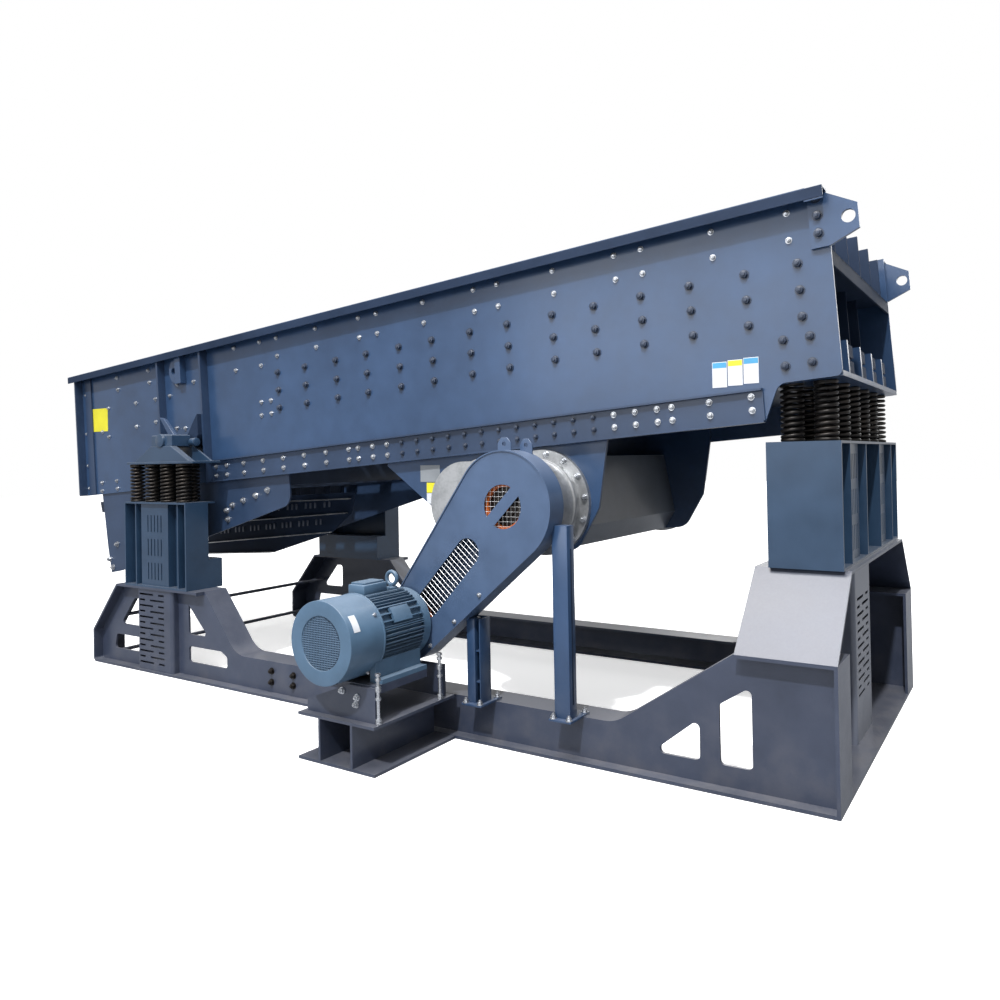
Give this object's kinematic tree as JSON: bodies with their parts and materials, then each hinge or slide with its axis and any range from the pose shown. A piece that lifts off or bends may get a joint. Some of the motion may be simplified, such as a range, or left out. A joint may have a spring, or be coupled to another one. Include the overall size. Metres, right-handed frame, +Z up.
{
  "type": "vibrating feeder",
  "caption": "long steel trough with a bar deck, carried on coil springs over a welded base frame and shaken by a belt-driven exciter",
  "frame": {"origin": "on the ground under the middle of the feed end pedestal, on the centre plane of the trough", "axes": "+X points out of the feed end along the trough, +Z up, the motor stands on the -Y side"},
  "size_m": [6.3316, 2.878, 2.6736],
  "materials": {
    "trough_paint": "satin blue-grey",
    "frame_paint": "satin dark grey",
    "guard_paint": "satin blue-grey",
    "under_paint": "satin dark",
    "motor_paint": "satin steel blue",
    "spring_steel": "black enamel",
    "galvanised": "dull zinc",
    "zinc": "bright zinc",
    "mesh_wire": "dark",
    "pulley_orange": "satin orange",
    "belt_rubber": "matt black"
  },
  "bodies": {
    "base": {"near_side_frame": "frame_paint", "far_side_frame": "frame_paint", "near_slotted_post": "frame_paint", "far_slotted_post": "frame_paint", "discharge_cross_ties": "frame_paint", "feed_pedestal": "frame_paint", "feed_slotted_post": "frame_paint", "near_discharge_spring_box": "trough_paint", "far_discharge_spring_box": "trough_paint", "feed_spring_box": "trough_paint", "near_discharge_springs": "spring_steel", "far_discharge_springs": "spring_steel", "feed_springs": "spring_steel", "belt_guard": "guard_paint", "belt_guard_mesh": "mesh_wire", "belt_guard_legs": "guard_paint", "drive_belt": "belt_rubber", "motor_housing": "motor_paint", "motor_fan_cowl": "motor_paint", "motor_terminal_box": "motor_paint", "motor_stand": "frame_paint", "motor_mount": "frame_paint", "motor_adjusting_screws": "zinc"},
    "trough": {"near_side_plate": "trough_paint", "far_side_plate": "trough_paint", "near_side_stiffeners": "trough_paint", "far_side_stiffeners": "trough_paint", "feed_pan": "trough_paint", "feed_back_wall": "trough_paint", "feed_spring_seat": "trough_paint", "near_side_liner": "trough_paint", "far_side_liner": "trough_paint", "upper_grizzly_bars": "under_paint", "lower_grizzly_bars": "under_paint", "grizzly_cross_beams": "under_paint", "near_skirt_plate": "trough_paint", "far_skirt_plate": "trough_paint", "near_spring_saddle": "trough_paint", "far_spring_saddle": "trough_paint", "near_hanging_plate": "trough_paint", "far_hanging_plate": "trough_paint", "exciter_cross_tube": "under_paint", "exciter_end_cover": "galvanised"},
    "exciter_rotor": {"exciter_pulley": "pulley_orange"},
    "motor_rotor": {"motor_pulley": "pulley_orange"}
  },
  "joints": [
    {"name": "stroke", "type": "slide", "parent": "base", "child": "trough", "axis": [-0.7071, 0, 0.7071], "range_m": [-0.005, 0.005], "stiffness_N_per_m": 2000000, "springref_m": 0.0173, "deforming": ["near_discharge_springs", "far_discharge_springs", "feed_springs", "drive_belt"]},
    {"name": "exciter_spin", "type": "hinge", "parent": "trough", "child": "exciter_rotor", "pos_m": [-1.362, -1.1175, 1.255], "axis": [0, 1, 0], "continuous": true},
    {"name": "motor_spin", "type": "hinge", "parent": "base", "child": "motor_rotor", "pos_m": [-2.009, -1.1175, 0.627], "axis": [0, 1, 0], "continuous": true}
  ],
  "couplings": [
    {"joint": "motor_spin", "follows": "exciter_spin", "ratio": 1.7857}
  ]
}
